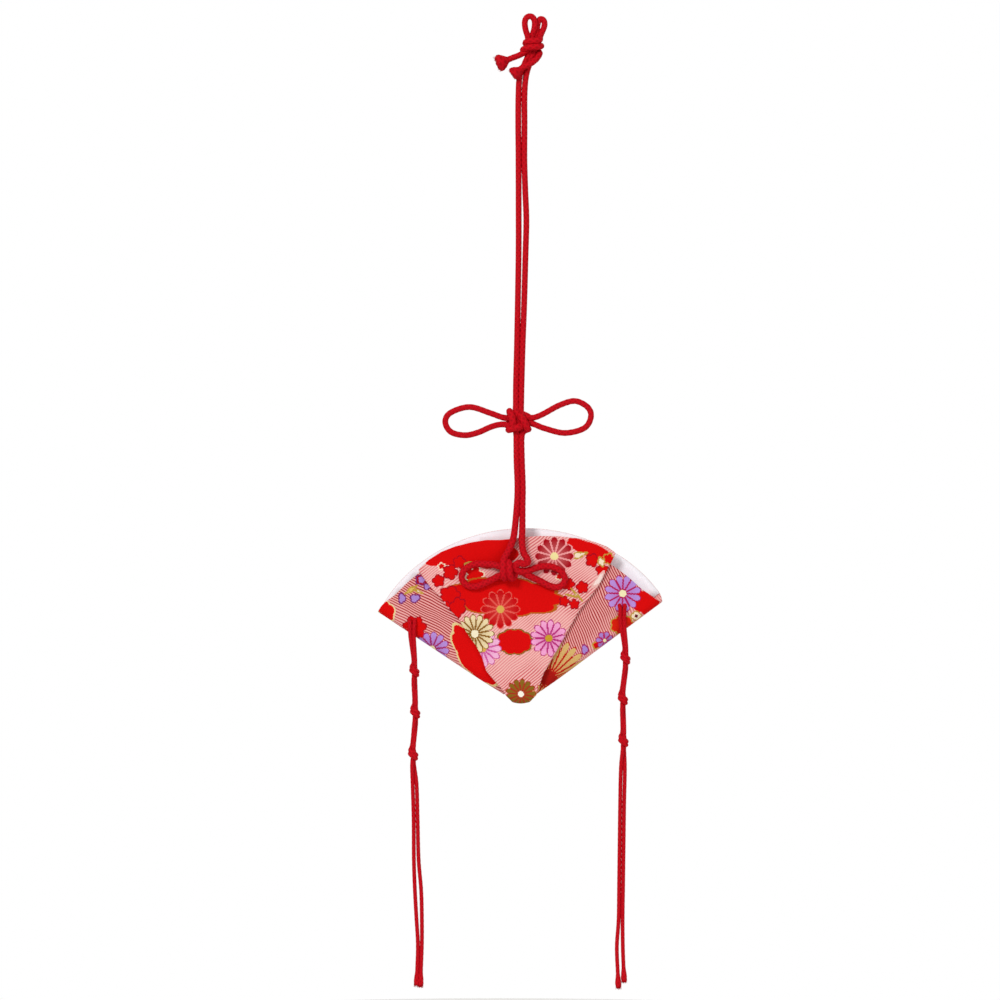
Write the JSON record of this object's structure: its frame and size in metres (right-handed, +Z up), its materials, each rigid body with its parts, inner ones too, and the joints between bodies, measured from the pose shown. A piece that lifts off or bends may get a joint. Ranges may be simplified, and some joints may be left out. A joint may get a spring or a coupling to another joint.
{
  "type": "hanging scent sachet",
  "caption": "Fan-shaped brocade pouch folded round an incense packet, hung on a doubled cord with a front bow, a crown knot with side loops and a top bow, with knotted tassel cords below.",
  "frame": {"origin": "where a hook holds the top loops of the hanging cord", "axes": "+Z up along the hanging strands, +X to the right as seen from the front, the front flap faces -Y"},
  "size_m": [0.1117, 0.0142, 0.3897],
  "materials": {
    "brocade": "woven satin brocade with flowers on a striped ground",
    "lilac_lining_cloth": "smooth matt lining cloth",
    "packet_paper": "soft matt non-woven packet",
    "crimson_cord": "fine braided cord, matt with a slight sheen"
  },
  "bodies": {
    "root": {"brocade_wrap": "brocade", "lilac_lining": "lilac_lining_cloth", "incense_packet": "packet_paper", "top_bow_knot": "crimson_cord", "crown_knot": "crimson_cord", "front_bow_knot": "crimson_cord", "left_tassel_knot_1": "crimson_cord", "left_tassel_knot_2": "crimson_cord", "left_tassel_knot_3": "crimson_cord", "right_tassel_knot_1": "crimson_cord", "right_tassel_knot_2": "crimson_cord", "right_tassel_knot_3": "crimson_cord", "hanging_loop_left": "crimson_cord", "top_tail_left": "crimson_cord", "upper_strand_left": "crimson_cord", "side_loop_left": "crimson_cord", "lower_strand_left": "crimson_cord", "bow_loop_left": "crimson_cord", "hanging_loop_right": "crimson_cord", "top_tail_right": "crimson_cord", "upper_strand_right": "crimson_cord", "side_loop_right": "crimson_cord", "lower_strand_right": "crimson_cord", "bow_loop_right": "crimson_cord", "bow_anchor": "crimson_cord", "left_tassel_loop": "crimson_cord", "left_tassel_upper_a": "crimson_cord", "left_tassel_lower_a": "crimson_cord", "left_tassel_tail_a": "crimson_cord", "left_tassel_upper_b": "crimson_cord", "left_tassel_lower_b": "crimson_cord", "left_tassel_tail_b": "crimson_cord", "right_tassel_loop": "crimson_cord", "right_tassel_upper_a": "crimson_cord", "right_tassel_lower_a": "crimson_cord", "right_tassel_tail_a": "crimson_cord", "right_tassel_upper_b": "crimson_cord", "right_tassel_lower_b": "crimson_cord", "right_tassel_tail_b": "crimson_cord"}
  },
  "joints": []
}
